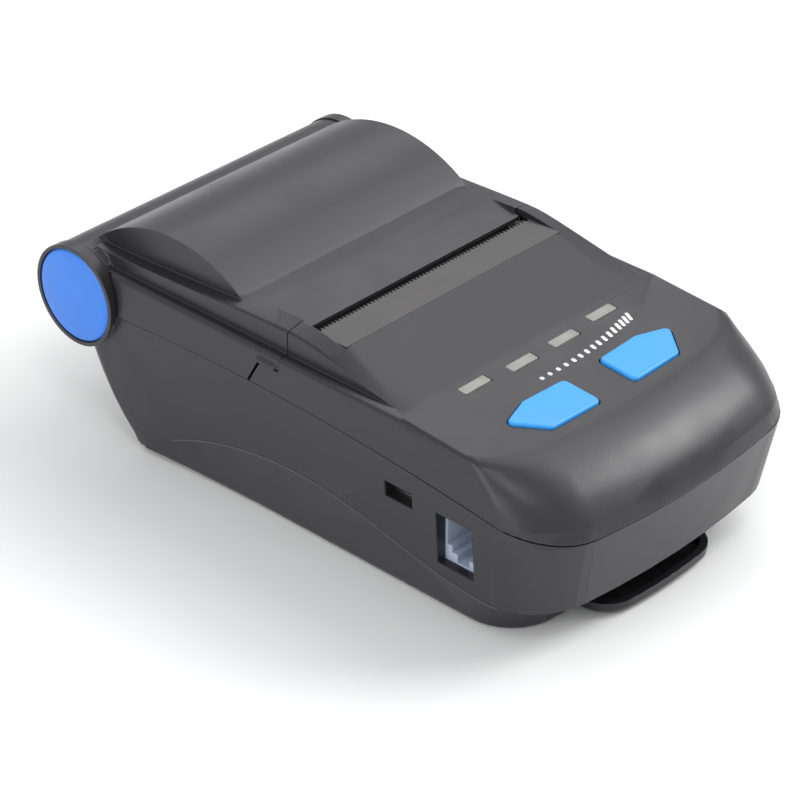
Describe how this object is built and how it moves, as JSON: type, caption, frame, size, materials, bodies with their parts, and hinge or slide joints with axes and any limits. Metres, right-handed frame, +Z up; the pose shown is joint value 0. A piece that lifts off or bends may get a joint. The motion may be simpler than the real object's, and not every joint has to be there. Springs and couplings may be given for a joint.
{
  "type": "portable receipt printer",
  "caption": "Pocket thermal receipt printer with a domed hinged lid, sloping control panel with two arrow-shaped buttons, tear bar, side ports and a sprung belt clip.",
  "frame": {"origin": "under the middle of the printer's bounding box, on the table", "axes": "+Z up, -Y towards the front with the control panel and the belt clip's plate, +Y towards the hinge, -X towards the side with the ports"},
  "size_m": [0.0812, 0.1418, 0.0523],
  "materials": {
    "case_plastic": "fine grained, satin",
    "blue_plastic": "satin",
    "tear_bar": "satin",
    "steel": "bright",
    "screws": "blackened",
    "heat_sink": "satin",
    "ceramic": "glazed",
    "frame_plastic": "satin",
    "black_plastic": "satin",
    "clip_plastic": "satin",
    "board": "solder mask",
    "led": "clear",
    "window": "smoked, translucent",
    "jack_plastic": "pale blue-grey",
    "contacts": "gilt",
    "battery": "sleeved",
    "cable": "flexible film",
    "white_plastic": "satin",
    "rubber": "ground"
  },
  "bodies": {
    "case": {"lower_case": "case_plastic", "top_cover": "case_plastic", "tear_bar": "tear_bar", "hinge_cap_left": "blue_plastic", "hinge_cap_right": "blue_plastic", "hinge_pins": "steel", "status_windows": "window", "key_board": "board", "status_leds": "led", "key_switches": "black_plastic", "main_board": "board", "board_parts": "black_plastic", "usb_socket": "steel", "modular_jack": "jack_plastic", "jack_contacts": "contacts", "battery_pack": "battery", "battery_contacts": "contacts", "battery_door": "case_plastic", "paper_tray": "black_plastic", "paper_sensor": "black_plastic", "head_frame": "frame_plastic", "head_springs": "steel", "head_cable": "cable", "stepper_motor": "steel", "idler_stud": "steel", "case_screws": "screws", "board_screws": "screws", "clip_pin": "steel", "clip_spring": "steel"},
    "lid": {"lid_shell": "case_plastic", "roller_bracket": "steel", "roller_bushes": "white_plastic", "bracket_screws": "screws"},
    "roller": {"roller_rubber": "rubber", "roller_shaft": "steel", "roller_gear": "white_plastic"},
    "head": {"print_head": "ceramic", "head_heat_sink": "heat_sink"},
    "idler": {"idler_gear": "white_plastic"},
    "rotor": {"motor_pinion": "contacts"},
    "left_button": {"left_button": "blue_plastic"},
    "right_button": {"right_button": "blue_plastic"},
    "belt_clip": {"belt_clip": "clip_plastic"}
  },
  "joints": [
    {"name": "lid_hinge", "type": "hinge", "parent": "case", "child": "lid", "pos_m": [0, 0.0597, 0.0332], "axis": [-1, 0, 0], "range_deg": [0, 85]},
    {"name": "roller_spin", "type": "hinge", "parent": "lid", "child": "roller", "pos_m": [0, 0.0049, 0.0388], "axis": [1, 0, 0], "continuous": true},
    {"name": "idler_spin", "type": "hinge", "parent": "case", "child": "idler", "pos_m": [0.0326, 0.0049, 0.0262], "axis": [1, 0, 0], "continuous": true},
    {"name": "rotor_spin", "type": "hinge", "parent": "case", "child": "rotor", "pos_m": [0.0326, -0.00506, 0.02257], "axis": [1, 0, 0], "continuous": true},
    {"name": "head_pivot", "type": "hinge", "parent": "case", "child": "head", "pos_m": [0, -0.0026, 0.0317], "axis": [1, 0, 0], "range_deg": [0, 2.5], "stiffness_Nm_per_rad": 0.1, "springref_deg": -1.72, "deforming": ["head_springs"]},
    {"name": "left_button_press", "type": "slide", "parent": "case", "child": "left_button", "axis": [0, 0, -1], "range_m": [0, 0.0003], "stiffness_N_per_m": 300, "springref_m": -0.0002},
    {"name": "right_button_press", "type": "slide", "parent": "case", "child": "right_button", "axis": [0, 0, -1], "range_m": [0, 0.0003], "stiffness_N_per_m": 300, "springref_m": -0.0002},
    {"name": "clip_pivot", "type": "hinge", "parent": "case", "child": "belt_clip", "pos_m": [0, -0.0523, 0.0028], "axis": [-1, 0, 0], "range_deg": [0, 20], "stiffness_Nm_per_rad": 0.05, "springref_deg": -11.46, "deforming": ["clip_spring"]}
  ],
  "couplings": [
    {"joint": "idler_spin", "follows": "roller_spin", "ratio": -0.66667},
    {"joint": "rotor_spin", "follows": "roller_spin", "ratio": 1.6667}
  ]
}
